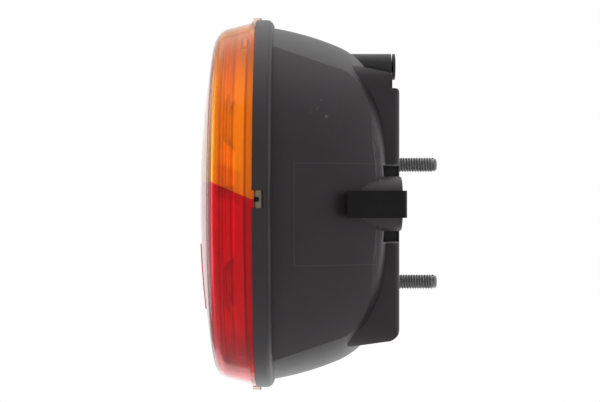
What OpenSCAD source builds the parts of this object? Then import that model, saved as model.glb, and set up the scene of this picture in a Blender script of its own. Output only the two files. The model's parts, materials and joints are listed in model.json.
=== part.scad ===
// Round combination rear lamp for a vehicle: a two-colour snap-on lens on a deep moulded housing.
// +X points to the vehicle, away from the lens; +Z is up; the origin is where the lamp's axis meets
// the flat mounting face on the back of the plinth. Depths are measured forwards from that face.

/* [Rim and lens] */
// Diameter of the housing rim
rim_d = 140; // [138:0.5:143]
// Depth of the rim, front edge to rear shoulder
rim_depth = 6.4; // [6:0.1:7]
// Wall thickness of the rim outside the seal groove
rim_wall = 2.3; // [2:0.1:2.6]
// Width of the shoulder between the rim and the bowl
rim_shoulder = 3.1; // [2.8:0.1:3.6]
// Height of the lens crown above the front edge of the rim
lens_rise = 21.2; // [20:0.2:24]
// Radius of the slightly domed front of the lens
lens_front_r = 345; // [320:5:420]
// Radius of the lens corner
lens_corner_r = 7; // [6:0.5:9]
// Draft of the lens side wall, in degrees
lens_draft = 13.5; // [12:0.5:15]
// Wall thickness of the lens
lens_wall = 2.2; // [1.8:0.1:2.6]
// Height of the amber and red joint above the axis, at the lens front
joint_front_z = 7.4; // [5:0.2:9]
// Height of the amber and red joint above the axis, at the rim
joint_rim_z = 1.6; // [0.6:0.2:2.4]

/* [Bowl] */
// Wall thickness of the housing
wall = 2.2; // [1.8:0.1:2.6]
// Depth of the flat back of the bowl in front of the mounting face
bowl_back = 5.2; // [4.8:0.1:5.8]
// Long radius of the bowl profile next to the rim
bowl_long_r = 110; // [106:1:116]
// Short radius of the bowl profile next to the back
bowl_short_r = 26.9; // [26:0.1:28]
// Profile angle where the long radius starts, in degrees
bowl_start = 9.5; // [9:0.5:10.5]
// Profile angle where the short radius takes over, in degrees
bowl_change = 22.5; // [22:0.5:24]
// Radius of the spherical cheek on each side
cheek_r = 88.3; // [88:0.1:89.5]
// Clearance of the cheeks outside the bowl where they reach the rim
cheek_gap = 0.2; // [0.1:0.05:0.4]

/* [Plinth and studs] */
// Width of the plinth
plinth_w = 64; // [62:0.5:65]
// Distance of the plinth's top step inside the edge of the bowl
step_inset = 19.2; // [18.6:0.1:19.8]
// Drop from the plinth's top step to the mounting face
face_drop = 6; // [5:0.1:7]
// Height of the step below the mounting face
step_h = 2.7; // [2:0.1:3.4]
// Distance of the plinth's bottom inside the edge of the bowl
bottom_inset = 16.8; // [15.6:0.1:17.6]
// Distance between the two mounting studs
stud_spacing = 45; // [42:0.5:48]
// Height of the upper stud above the axis
stud_high = 14.9; // [13:0.1:17]
// Outer diameter of the stud thread
stud_d = 6; // [5:0.5:6]
// Length of the studs beyond the mounting face
stud_len = 16.5; // [14:0.5:22]

/* [Connector] */
// Outer diameter of the connector socket
socket_d = 19.4; // [18.8:0.2:19.8]
// Gap between the connector socket and the side of the plinth
socket_gap = 0.3; // [0.2:0.1:0.8]
// Depth of the connector socket
socket_depth = 13; // [12:0.2:13.4]
// Length of the latch block beside the socket
latch_len = 20.3; // [20:0.1:24]
// Height of the latch block
latch_h = 9.3; // [8:0.1:10]
// Thickness of the latch block where it stands proud of the socket
latch_proud = 8; // [6:0.5:9]

/* [Breather] */
// Outer diameter of the breather tube
tube_d = 10; // [9.6:0.1:10.2]
// Height of the tube's axis above the plinth's top step
tube_rise = 4.9; // [4.7:0.1:5.2]
// Wall thickness of the tube
tube_wall = 2; // [1.8:0.1:2.2]

/* [Bulbs and tray] */
// Diameter of the bulb glass
bulb_d = 26.5; // [24:0.5:28]
// Diameter of the bulb cap
cap_d = 15; // [14.6:0.1:15.4]
// Gap between each reflector dish and the divider or the screw tower next to it
dish_gap = 0.8; // [0.5:0.1:1.2]
// Depth of each reflector dish
dish_depth = 16; // [15:0.5:16.5]
// Wall thickness of the tray
tray_wall = 1.6; // [1.4:0.1:2]

/* [Hidden] */

// Number of sides on large, small, flat-domed and hexagonal forms
round_n = 96;
small_n = 48;
dome_n = 360;
hex_n = 6;
// Overrun of a cut past the face that it opens, and the gap between pieces that fit together
over = 1;
fit_gap = 0.2;

// Bowl profile: a long arc next to the rim runs into a short one next to the flat back
rim_r = rim_d / 2;
bowl_r = rim_r - rim_shoulder;
short_x = bowl_back + bowl_short_r;
change_x = short_x - bowl_short_r * sin(bowl_change);
bowl_arc_x = change_x + bowl_long_r * sin(bowl_change);
bowl_arc_r = bowl_r - bowl_long_r * cos(bowl_start);
short_r = bowl_arc_r + (bowl_long_r - bowl_short_r) * cos(bowl_change);
cheek_lead = 23.1;
cheek_offset = sqrt(cheek_r * cheek_r - cheek_lead * cheek_lead) - bowl_r - cheek_gap;
bowl_turn = -90;

// Rim, seal groove and tab notches
rim_rear = bowl_arc_x - bowl_long_r * sin(bowl_start);
rim_front = rim_rear + rim_depth;
rim_floor = 1.8;
rim_round_r = 2.2;
groove_w = 3.3;
inner_lip_wall = 1.2;
inner_lip_h = 4.2;
inner_lip_r = rim_r - rim_wall - groove_w;
mouth_r = inner_lip_r - inner_lip_wall;
notch_w = 6;
notch_h = 3.7;
notch_turn = -1.3;
notch_count = 4;
seal_h = 1.4;

// Lens
lens_back = rim_front + fit_gap;
lens_apex = rim_front + lens_rise;
lens_foot_inset = 0.7;
lens_foot_r = rim_r - lens_foot_inset;
dome_x = lens_apex - lens_front_r;
flange_h = 1.6;
flange_inset = 0.4;
flange_r = rim_r - flange_inset;
skirt_wall = 1.3;
skirt_r = rim_r - rim_wall - fit_gap;
skirt_in_r = skirt_r - skirt_wall;
skirt_end = rim_rear + rim_floor + seal_h;
tab_w = 5.4;
tab_h = 1.6;
tab_proud = 1.2;
hook_w = 1.9;
hook_h = 3.2;
joint_front_depth = 7.2;

// Reflex reflector, a panel bonded in a shallow pocket of the red lens
reflex_w = 46;
reflex_low = 38.7;
reflex_high = 14.8;
reflex_proud = 0.35;
reflex_gap = 0.15;

// Plinth
step_top = bowl_r - step_inset;
face_top = step_top - face_drop;
plinth_bottom = bowl_r - bottom_inset;
plinth_round_r = 5;
plinth_rise = 3.1;
plinth_drop = 2.1;
plinth_reach = 13;
plinth_corner_r = 9;
face_round_r = 1.6;
step_round_r = 1.8;
side_round_r = 2.5;
face_floor = 2.6;
plinth_wall = 5;
plinth_end = bowl_back + plinth_reach;

// Studs
stud_zs = [stud_high, stud_high - stud_spacing];
stud_r = stud_d / 2;
stud_chamfer = 0.9;
thread_start = 0.5;
shank_inset = 0.1;
stud_head_r = 5.8;
stud_head_h = 2.4;
stud_pad_r = 8;
seal_groove_r = 4.8;
seal_groove_h = 1;
seal_proud = 0.3;
stud_seat = face_floor + seal_groove_h;

// Connector
socket_r = socket_d / 2;
socket_y = plinth_w / 2 + socket_gap + socket_r;
socket_wall = 1.8;
socket_floor = 2.2;
socket_bore_r = socket_r - socket_wall;
socket_end = 0.3;
socket_front = socket_depth + socket_floor;
socket_round = 0.8;
slot_h = 4;
slot_len = 6.6;
slot_depth = 3.6;
carrier_h = 4;
carrier_back = socket_depth - carrier_h;
pin_count = 4;
pin_circle_r = 4.6;
pin_r = 0.8;
pin_len = 4.6;
pin_tail = 0.7;
ring_seal_h = 1.8;
ring_seal_w = 1.2;
latch_end = -0.4;
latch_z = -0.15;
latch_chamfer = 0.8;
latch_root = 3.4;
latch_peg_r = 1.4;
latch_peg_inset = 1.9;
latch_peg_in = 7.6;
latch_y = socket_y + socket_r + latch_proud;
latch_front = latch_len + latch_end;
latch_peg_x = latch_front - latch_peg_inset;

// Breather tube and its cap
tube_r = tube_d / 2;
tube_z = step_top + tube_rise;
tube_bore_r = tube_r - tube_wall;
tube_sink = 12.6;
tube_seat = bowl_back + tube_sink;
tube_end = -0.4;
tube_lip_h = 0.9;
tube_notch = 0.6;
spigot_wall = 0.9;
spigot_bore_r = tube_bore_r - spigot_wall;
spigot_end = 2;
cap_plug_len = 6;

// Reflector tray
tray_sink = 4.2;
tray_x = rim_front - tray_sink;
collar_r = mouth_r - fit_gap;
collar_wall = 1.4;
collar_h = 10;
collar_top = tray_x + collar_h;
divider_gap = 1;
divider_z = 5.2;
post_r = 3.4;
post_gap = 1;
post_z = collar_r - collar_wall - post_gap - post_r;
post_top = tray_x - tray_wall;
dish_low = divider_z + tray_wall / 2 + dish_gap;
dish_high = post_z - post_r - dish_gap;
dish_r = (dish_high - dish_low) / 2;
bulb_z = (dish_high + dish_low) / 2;
dish_ball_r = (dish_r * dish_r + dish_depth * dish_depth) / (2 * dish_depth);
tower_h = 8.2;
tower_top = tray_x + tower_h;
screw_r = 1.25;
screw_bite = 9;
screw_hole_gap = 0.05;
screw_head_r = 3.1;
screw_head_h = 2.2;
screw_slot_w = 0.9;
screw_slot_h = 0.9;

// Bulb caps, holders and contacts, stacked backwards from the dishes
cap_r = cap_d / 2;
cap_h = 16;
cap_pin_r = 1;
cap_pin_proud = 1;
cap_pin_depth = 5;
tip_h = 1.4;
tip_r = 1.6;
tip_side = 2.3;
neck_inset = 1.3;
neck_h = 4;
neck_r = cap_r - neck_inset;
bulb_r = bulb_d / 2;
bulb_lead = sqrt(bulb_r * bulb_r - neck_r * neck_r) + fit_gap;
holder_wall = 0.8;
holder_h = 13.1;
holder_r = cap_r + fit_gap + holder_wall;
holder_front = tray_x - dish_depth;
holder_back = holder_front - holder_h;
holder_slot_w = 3;
holder_slot_h = 8;
holder_hole_r = 4.1;
sleeve_h = 10;
sleeve_bore_r = holder_r + fit_gap / 2;
sleeve_r = sleeve_bore_r + tray_wall;
sleeve_rise = dish_ball_r - sqrt(dish_ball_r * dish_ball_r - sleeve_r * sleeve_r);
spring_r = 5.6;
spring_wire_r = 0.45;
spring_turns = 5;
spring_h = 2 * spring_wire_r * spring_turns;
cap_back = holder_back + holder_wall + spring_h + fit_gap;
cap_front = cap_back + cap_h;
bulb_x = cap_front + bulb_lead;
strip_h = 0.8;
strip_w = 2.4;
strip_gap = 0.5;
strip_front = holder_back - strip_h - strip_gap;
contact_r = 0.9;
earth_y = 6;
earth_z = 12;
stop_z = -8;

// Turns local Z into depth in front of the mounting face
module along_axis() {
    rotate([0, -90, 0]) children();
}

// Revolves a profile drawn as [radius, depth]; its seam is turned away from the cuts
module spin_x(turn = 0) {
    along_axis() rotate(turn) rotate_extrude($fn = round_n) children();
}

// Round bar along the lamp's axis between two depths
module rod(y, z, back, front, r, n = small_n) {
    translate([-back, y, z]) along_axis() cylinder(r = r, h = front - back, $fn = n);
}

// Tube along the lamp's axis between two depths
module ring_rod(y, z, back, front, r_out, r_in) {
    difference() {
        rod(y, z, back, front, r_out);
        rod(y, z, back - over, front + over, r_in);
    }
}

// Round bar across the lamp, from y_low to y_high
module rod_y(depth, z, y_low, y_high, r) {
    translate([-depth, y_low, z]) rotate([-90, 0, 0]) cylinder(r = r, h = y_high - y_low, $fn = small_n);
}

// Block given by its two depths and its corners in Y and Z
module block(back, front, y_low, y_high, z_low, z_high) {
    translate([-front, y_low, z_low]) cube([front - back, y_high - y_low, z_high - z_low]);
}

// Turns a drawing of [depth, height] into a slab across the lamp
module across(width) {
    rotate([90, 0, 0]) mirror([1, 0, 0]) translate([0, 0, -width / 2]) linear_extrude(width) children();
}

// Turns a drawing of [depth, Y] into a slab up the lamp
module upright(z_low, z_high) {
    translate([0, 0, z_low]) mirror([1, 0, 0]) linear_extrude(z_high - z_low) children();
}

// Half profile of the bowl, drawn inwards by inset
module bowl_profile(inset) {
    intersection() {
        translate([bowl_arc_r, bowl_arc_x]) circle(r = bowl_long_r - inset, $fn = round_n);
        translate([0, change_x]) square([rim_r, rim_rear - change_x + rim_floor - inset]);
    }
    intersection() {
        union() {
            translate([short_r, short_x]) circle(r = bowl_short_r - inset, $fn = round_n);
            translate([0, bowl_back + inset]) square([short_r, bowl_short_r]);
        }
        translate([0, bowl_back - over]) square([rim_r, bowl_short_r]);
    }
    translate([0, short_x - 2 * over]) square([short_r, rim_rear - short_x + 2 * over]);
}

// Bowl of revolution trimmed by the two spherical cheeks
module bowl_solid(inset) {
    intersection() {
        spin_x(bowl_turn) bowl_profile(inset);
        for_cheeks(inset);
    }
}

module for_cheeks(inset) {
    intersection() {
        translate([-rim_rear - cheek_lead, cheek_offset, 0]) sphere(r = cheek_r - inset, $fn = round_n);
        translate([-rim_rear - cheek_lead, -cheek_offset, 0]) sphere(r = cheek_r - inset, $fn = round_n);
    }
}

// Rim with its rounded rear shoulder
module rim_solid() {
    spin_x() union() {
        translate([0, rim_rear + rim_round_r]) square([rim_r, rim_depth - rim_round_r]);
        translate([0, rim_rear]) square([rim_r - rim_round_r, rim_depth]);
        translate([rim_r - rim_round_r, rim_rear + rim_round_r]) circle(r = rim_round_r, $fn = small_n);
    }
}

// Seal groove and mouth behind the lens
module rim_hollow() {
    spin_x() union() {
        translate([inner_lip_r, rim_rear + rim_floor]) square([groove_w, rim_depth]);
        translate([0, rim_rear + rim_floor + inner_lip_h]) square([inner_lip_r + over, rim_depth]);
        translate([0, rim_rear - over]) square([mouth_r, rim_depth + over]);
    }
}

// Side view of the plinth, drawn as [depth, height]
module plinth_side() {
    polygon([
        [0, plinth_round_r - plinth_bottom],
        [plinth_round_r, -plinth_bottom],
        [plinth_end, -plinth_bottom - plinth_drop],
        [plinth_end, step_top + plinth_rise],
        [step_h + step_round_r, step_top],
        [step_h, step_top - step_round_r],
        [step_h, face_top],
        [face_round_r, face_top],
        [0, face_top - face_round_r]
    ]);
    translate([plinth_round_r, plinth_round_r - plinth_bottom]) circle(r = plinth_round_r, $fn = small_n);
    translate([step_h + step_round_r, step_top - step_round_r]) circle(r = step_round_r, $fn = small_n);
    translate([face_round_r, face_top - face_round_r]) circle(r = face_round_r, $fn = small_n);
}

// Plan view of the plinth, drawn as [depth, Y], with rounded rear edges
module plinth_plan() {
    half = plinth_w / 2;
    translate([side_round_r, -half]) square([plinth_end, plinth_w]);
    translate([0, side_round_r - half]) square([side_round_r + over, plinth_w - 2 * side_round_r]);
    for (side = [-1, 1])
        translate([side_round_r, side * (half - side_round_r)]) circle(r = side_round_r, $fn = small_n);
}

// Outline of the plinth from behind, drawn as [height, Y], with round corners
module plinth_outline() {
    side = plinth_w / 2 - plinth_corner_r;
    low = plinth_corner_r - plinth_bottom - plinth_drop - over;
    high = step_top + plinth_rise + over - plinth_corner_r;
    translate([low, -plinth_w / 2]) square([high - low, plinth_w]);
    translate([low - plinth_corner_r, -side]) square([high - low + 2 * plinth_corner_r, 2 * side]);
    for (z = [low, high])
        for (y = [-side, side]) translate([z, y]) circle(r = plinth_corner_r, $fn = small_n);
}

module plinth_solid() {
    intersection() {
        across(plinth_w + over) plinth_side();
        upright(-rim_r, rim_r) plinth_plan();
        translate([over, 0, 0]) along_axis() linear_extrude(plinth_end + 2 * over) plinth_outline();
    }
}

// Hollow inside the plinth, open to the bowl
module plinth_hollow() {
    half = plinth_w / 2 - plinth_wall;
    block(face_floor, bowl_back + wall + over, -half, half,
        plinth_wall - plinth_bottom, face_top - plinth_wall);
}

// Places a child at each lens tab
module at_tabs() {
    for (k = [0:notch_count - 1]) rotate([notch_turn + k * 360 / notch_count, 0, 0]) children();
}

// Notch in the rim for one lens tab
module rim_notch() {
    block(rim_front - notch_h, rim_front + over, rim_r - rim_wall - over, rim_r + over,
        -notch_w / 2, notch_w / 2);
}

// Connector socket boss on the near side, with a rounded mouth
module socket_boss() {
    rod(-socket_y, 0, socket_end + socket_round, socket_front, socket_r);
    rod(-socket_y, 0, socket_end, socket_front, socket_r - socket_round);
    translate([-socket_end - socket_round, -socket_y, 0]) along_axis() rotate_extrude($fn = small_n)
        translate([socket_r - socket_round, 0]) circle(r = socket_round, $fn = small_n);
}

// Bosses that stand inside the hollow housing
module inner_bosses() {
    rod(-socket_y, 0, socket_end, socket_front, socket_r);
    rod(0, tube_z, bowl_back, tube_seat + wall, tube_r + wall);
    for (z = stud_zs) rod(0, z, 0, bowl_back + wall, stud_pad_r);
    for (z = [-post_z, post_z]) rod(0, z, bowl_back, post_top, post_r);
}

module housing_body() {
    difference() {
        union() {
            bowl_solid(0);
            rim_solid();
            plinth_solid();
            socket_boss();
        }
        difference() {
            union() {
                bowl_solid(wall);
                plinth_hollow();
            }
            inner_bosses();
        }
        difference() {
            rim_hollow();
            for (z = [-post_z, post_z]) rod(0, z, bowl_back, post_top, post_r);
        }
        rod(0, tube_z, -over, tube_seat, tube_r + fit_gap / 2);
    }
    rod(0, tube_z, spigot_end, tube_seat + wall / 2, tube_bore_r - fit_gap / 2);
}

module housing() {
    half = plinth_w / 2;
    color("dimgray") difference() {
        housing_body();
        at_tabs() rim_notch();
        rod(-socket_y, 0, -over, socket_depth, socket_bore_r);
        at_pins() rod(0, 0, socket_depth - over, socket_front + over, pin_r + fit_gap / 2);
        for (z = stud_zs) {
            rod(0, z, -over, bowl_back + wall + over, stud_r + fit_gap / 2);
            rod(0, z, -over, seal_groove_h, seal_groove_r);
            rod(0, z, stud_seat, bowl_back + wall + over, stud_head_r + fit_gap, hex_n);
        }
        for (z = [-post_z, post_z])
            rod(0, z, post_top - screw_bite - over, post_top + over, screw_r + screw_hole_gap);
        rod(0, tube_z, -over, tube_seat + wall + over, spigot_bore_r);
        for (low = [socket_r, -socket_r - slot_h])
            block(socket_end, slot_len, -socket_y, slot_depth - half, low, low + slot_h);
        rod_y(latch_peg_x, latch_z, -latch_y, over - socket_y - latch_peg_in, latch_peg_r + fit_gap / 2);
    }
}

// Lens outline: drafted side wall, round corner and domed front, drawn inwards by inset
lens_norm = [cos(lens_draft), sin(lens_draft)];
lens_dir = [-sin(lens_draft), cos(lens_draft)];
corner_foot = [lens_foot_r, lens_back] - lens_corner_r * lens_norm;
corner_run = [corner_foot[0], corner_foot[1] - dome_x];
corner_reach = lens_front_r - lens_corner_r;
corner_b = corner_run * lens_dir;
corner_slide = sqrt(corner_b * corner_b - corner_run * corner_run + corner_reach * corner_reach) - corner_b;
corner_at = corner_foot + corner_slide * lens_dir;

module lens_profile(inset) {
    side = corner_at + (lens_corner_r - inset) * lens_norm;
    foot = [lens_foot_r, lens_back] - inset * lens_norm - over * lens_dir;
    ray = (corner_at - [0, dome_x]) / corner_reach;
    ray_end = corner_at + ray * lens_rise;
    translate(corner_at) circle(r = lens_corner_r - inset, $fn = small_n);
    polygon([[0, foot[1]], foot, side, corner_at, [0, corner_at[1]]]);
    intersection() {
        translate([0, dome_x]) circle(r = lens_front_r - inset, $fn = dome_n);
        polygon([[0, corner_at[1] - over], corner_at, ray_end, [0, lens_apex + lens_rise]]);
    }
}

// Whole lens before it is split into its two colours
module lens_shell() {
    difference() {
        union() {
            spin_x() intersection() {
                lens_profile(0);
                translate([0, lens_back]) square([rim_r, lens_rise]);
            }
            spin_x() translate([0, lens_back]) square([flange_r, flange_h]);
            spin_x() translate([skirt_in_r, skirt_end]) square([skirt_wall, lens_back - skirt_end + over]);
            at_tabs() lens_tab();
        }
        spin_x() intersection() {
            lens_profile(lens_wall);
            translate([0, lens_back - over]) square([rim_r, lens_rise + over]);
        }
        spin_x() translate([0, lens_back - over]) square([skirt_in_r, flange_h + over]);
        reflex_pocket();
    }
}

// One tab with its pair of hooks, standing in a rim notch
module lens_tab() {
    inner = skirt_r - skirt_wall / 2;
    block(lens_back - tab_h, lens_back + flange_h, inner, rim_r + tab_proud, -tab_w / 2, tab_w / 2);
    for (low = [-tab_w / 2, tab_w / 2 - hook_w])
        block(lens_back - hook_h, lens_back, inner, rim_r - fit_gap, low, low + hook_w);
}

// Side view of the amber part of the lens; the joint line is its lower edge
module amber_side() {
    polygon([
        [rim_rear, joint_rim_z],
        [lens_back, joint_rim_z],
        [lens_apex - joint_front_depth, joint_front_z],
        [lens_apex + over, joint_front_z],
        [lens_apex + over, rim_d],
        [rim_rear, rim_d]
    ]);
}

module amber_lens() {
    color("darkorange") intersection() {
        lens_shell();
        across(rim_d + 2 * tab_proud + over) amber_side();
    }
}

module red_lens() {
    color("firebrick") difference() {
        lens_shell();
        across(rim_d + 2 * tab_proud + over) amber_side();
    }
}

// Skin of the lens front between two offsets from its outer surface
module dome_skin(out, deep) {
    spin_x() intersection() {
        difference() {
            translate([0, dome_x]) circle(r = lens_front_r + out, $fn = dome_n);
            translate([0, dome_x]) circle(r = lens_front_r - deep, $fn = dome_n);
        }
        translate([0, lens_back]) square([rim_r, lens_rise + 2 * over]);
    }
}

// Block over the reflex reflector's place in the red lens
module reflex_window(gap) {
    half = reflex_w / 2 + gap;
    block(lens_apex - lens_rise / 2, lens_apex + 2 * over, -half, half,
        -reflex_low - gap, gap - reflex_high);
}

module reflex_pocket() {
    intersection() {
        dome_skin(over, lens_wall / 2);
        reflex_window(reflex_gap);
    }
}

module reflex_reflector() {
    color("red") intersection() {
        dome_skin(reflex_proud, lens_wall / 2);
        reflex_window(0);
    }
}

module lens_seal() {
    color("black") spin_x() translate([inner_lip_r + fit_gap, rim_rear + rim_floor])
        square([groove_w - 2 * fit_gap, seal_h]);
}

// Ball that shapes one reflector dish, drawn inwards by inset
module dish(z, inset) {
    translate([0, 0, z]) spin_x() intersection() {
        translate([0, tray_x - dish_depth + dish_ball_r]) circle(r = dish_ball_r - inset, $fn = round_n);
        translate([0, holder_front - over]) square([rim_r, dish_depth + over + inset]);
    }
}

module reflector_tray() {
    color("whitesmoke") difference() {
        union() {
            difference() {
                rod(0, 0, tray_x - tray_wall, collar_top, collar_r, round_n);
                rod(0, 0, tray_x, collar_top + over, collar_r - collar_wall, round_n);
            }
            for (z = [-bulb_z, bulb_z]) {
                dish(z, 0);
                rod(0, z, holder_front - sleeve_h, holder_front + sleeve_rise, sleeve_r);
            }
            for (z = [-post_z, post_z]) rod(0, z, tray_x - tray_wall, tower_top, post_r);
            tray_divider();
        }
        for (z = [-bulb_z, bulb_z]) {
            dish(z, tray_wall);
            rod(0, z, holder_front - sleeve_h - over, tray_x, sleeve_bore_r);
        }
        for (z = [-post_z, post_z]) rod(0, z, post_top - over, tower_top + over, screw_r + fit_gap);
    }
}

// Wall between the two light chambers, cut to the inside of the lens
module tray_divider() {
    divider_r = collar_r - collar_wall / 2;
    intersection() {
        spin_x() union() {
            translate([0, tray_x - tray_wall / 2]) square([divider_r, collar_h]);
            intersection() {
                lens_profile(lens_wall + divider_gap);
                translate([0, lens_back]) square([divider_r, lens_rise]);
            }
        }
        block(tray_x - tray_wall, lens_apex, -rim_r, rim_r, divider_z - tray_wall / 2,
            divider_z + tray_wall / 2);
    }
}

// Glass envelope with the neck that is cemented into the cap
module bulb_glass(z) {
    color("gainsboro") {
        translate([-bulb_x, 0, z]) sphere(r = bulb_r, $fn = round_n);
        rod(0, z, cap_front - neck_h, bulb_x, neck_r);
    }
}

// Metal cap with two locking pins and one or two solder tips
module bulb_cap(z, tips) {
    color("silver") {
        difference() {
            rod(0, z, cap_back, cap_front, cap_r);
            rod(0, z, cap_front - neck_h, cap_front + over, neck_r + fit_gap / 2);
        }
        for (tip = tips) rod(tip, z, cap_back - tip_h, cap_back + over, tip_r);
        difference() {
            rod_y(cap_back + cap_pin_depth, z, -cap_r - cap_pin_proud, cap_r + cap_pin_proud, cap_pin_r);
            rod(0, z, cap_back, cap_front, cap_r - over);
        }
    }
}

module indicator_bulb_glass() { bulb_glass(bulb_z); }
module stop_tail_bulb_glass() { bulb_glass(-bulb_z); }
module indicator_bulb_cap() { bulb_cap(bulb_z, [0]); }
module stop_tail_bulb_cap() { bulb_cap(-bulb_z, [-tip_side, tip_side]); }

// Brass holder with a bayonet slot on each side
module bulb_holder(z) {
    color("goldenrod") difference() {
        rod(0, z, holder_back, holder_front, holder_r);
        rod(0, z, holder_back + holder_wall, holder_front + over, holder_r - holder_wall);
        rod(0, z, holder_back - over, holder_back + holder_wall + over, holder_hole_r);
        block(holder_front - holder_slot_h, holder_front + over, -holder_r - over, holder_r + over,
            z - holder_slot_w / 2, z + holder_slot_w / 2);
    }
}

module indicator_holder() { bulb_holder(bulb_z); }
module stop_tail_holder() { bulb_holder(-bulb_z); }

// Turns of the springs that press each bulb cap against its locking slots
module holder_springs() {
    color("lightgray") for (z = [-bulb_z, bulb_z]) for (turn = [0:spring_turns - 1])
        translate([-(holder_back + holder_wall + spring_wire_r * (2 * turn + 1)), 0, z]) along_axis()
            rotate_extrude($fn = small_n) translate([spring_r, 0]) circle(r = spring_wire_r, $fn = small_n / 2);
}

// Flat strip that runs through a list of [Y, Z] points at one depth
module strip(points, front) {
    half = strip_w / 2;
    difference() {
        for (k = [1:len(points) - 1]) {
            a = points[k - 1];
            b = points[k];
            block(front - strip_h, front, min(a[0], b[0]) - half, max(a[0], b[0]) + half,
                min(a[1], b[1]) - half, max(a[1], b[1]) + half);
        }
        at_pins() rod(0, 0, front - strip_h - over, front + over, pin_r);
    }
}

// Stud that touches a solder tip of a bulb
module contact_stud(y, z) {
    rod(y, z, strip_front - strip_h, cap_back - tip_h, contact_r);
}

// Positions of the connector pins as [Y, Z]
function pin_place(k) = let (turn = 360 / pin_count * (k + 1 / 2))
    [pin_circle_r * cos(turn) - socket_y, pin_circle_r * sin(turn)];

module at_pins() {
    for (k = [0:pin_count - 1]) translate([0, pin_place(k)[0], pin_place(k)[1]]) children();
}

module indicator_contact() {
    pin = pin_place(0);
    color("goldenrod") {
        contact_stud(0, bulb_z);
        strip([[0, bulb_z], [0, pin[1]], pin], strip_front);
    }
}

module stop_tail_contacts() {
    near = pin_place(3);
    far = pin_place(2);
    color("goldenrod") {
        contact_stud(tip_side, -bulb_z);
        strip([[tip_side, -bulb_z], [tip_side, near[1]], near], strip_front);
        contact_stud(-tip_side, -bulb_z);
        strip([[-tip_side, -bulb_z], [-tip_side, stop_z], [far[0], stop_z], far], strip_front);
    }
}

module earth_strip() {
    pin = pin_place(1);
    color("goldenrod") {
        strip([[earth_y, -bulb_z], [earth_y, bulb_z]], holder_back);
        strip([[earth_y, earth_z], [pin[0], earth_z], pin], holder_back);
    }
}

module tray_screws() {
    color("silver") for (z = [-post_z, post_z]) difference() {
        union() {
            rod(0, z, post_top - screw_bite, tower_top + over, screw_r);
            rod(0, z, tower_top, tower_top + screw_head_h, screw_head_r);
        }
        block(tower_top + screw_head_h - screw_slot_h, tower_top + screw_head_h + over,
            -screw_head_r - over, screw_head_r + over, z - screw_slot_w / 2, z + screw_slot_w / 2);
    }
}

module mounting_studs() {
    color("lightslategray") for (z = stud_zs) union() {
        rod(0, z, stud_chamfer - stud_len, -thread_start, stud_r);
        rod(0, z, -thread_start, stud_seat, stud_r - shank_inset);
        translate([stud_len - stud_chamfer, 0, z]) rotate([0, 90, 0])
            cylinder(r1 = stud_r, r2 = stud_r - stud_chamfer, h = stud_chamfer, $fn = small_n);
        rod(0, z, stud_seat, stud_seat + stud_head_h, stud_head_r, hex_n);
    }
}

module stud_seals() {
    color("black") for (z = stud_zs)
        ring_rod(0, z, -seal_proud, seal_groove_h, seal_groove_r - fit_gap / 2, stud_r + fit_gap / 2);
}

module connector_pins() {
    color("gold") at_pins() rod(0, 0, carrier_back - pin_len, holder_back + pin_tail, pin_r);
}

module connector_carrier() {
    color("black") difference() {
        rod(-socket_y, 0, carrier_back, socket_depth, socket_bore_r - fit_gap / 2);
        at_pins() rod(0, 0, carrier_back - over, socket_depth + over, pin_r + fit_gap / 4);
    }
}

module connector_seal() {
    color("black") ring_rod(-socket_y, 0, carrier_back - ring_seal_h, carrier_back,
        socket_bore_r - fit_gap / 2, socket_bore_r - ring_seal_w);
}

// Block that saddles the socket boss and the bowl, with a locating peg
module latch_block() {
    color("black") {
        difference() {
            across_latch();
            rod(-socket_y, 0, latch_end - over, socket_front + over, socket_r + fit_gap / 2);
            bowl_solid(-fit_gap / 2);
        }
        rod_y(latch_peg_x, latch_z, latch_proud / 4 - latch_y, -socket_y - latch_peg_in, latch_peg_r);
    }
}

// Latch block before its saddle is cut, with chamfered rear corners
module across_latch() {
    low = latch_z - latch_h / 2;
    high = latch_z + latch_h / 2;
    upright_plan = [
        [latch_end + latch_chamfer, -latch_y],
        [latch_front, -latch_y],
        [latch_front, latch_root - latch_y + latch_proud],
        [latch_end, latch_root - latch_y + latch_proud],
        [latch_end, latch_chamfer - latch_y]
    ];
    upright(low, high) polygon(upright_plan);
}

module breather_tube() {
    color("black")
        ring_rod(0, tube_z, tube_end + tube_lip_h + tube_notch, tube_seat, tube_r, tube_bore_r);
}

// End cap with a plug that sits in the spigot's bore
module breather_cap() {
    color("black") {
        rod(0, tube_z, tube_end, tube_end + tube_lip_h, tube_r);
        rod(0, tube_z, tube_end, tube_end + cap_plug_len, spigot_bore_r - fit_gap / 4);
    }
}

housing();
amber_lens();
red_lens();
lens_seal();
reflex_reflector();
reflector_tray();
indicator_bulb_glass();
indicator_bulb_cap();
stop_tail_bulb_glass();
stop_tail_bulb_cap();
indicator_holder();
stop_tail_holder();
holder_springs();
indicator_contact();
stop_tail_contacts();
earth_strip();
tray_screws();
mounting_studs();
stud_seals();
connector_pins();
connector_carrier();
connector_seal();
latch_block();
breather_tube();
breather_cap();
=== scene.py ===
"""Round combination rear lamp: looks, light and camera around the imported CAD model.

Everything is in metres in the CAD frame: +X points to the vehicle, +Z is up, and the origin is where
the lamp's axis meets the flat mounting face.
"""

import json
import logging
import math
from dataclasses import dataclass, field
from enum import Enum

import bmesh
import bpy
from mathutils import Matrix, Vector


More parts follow.
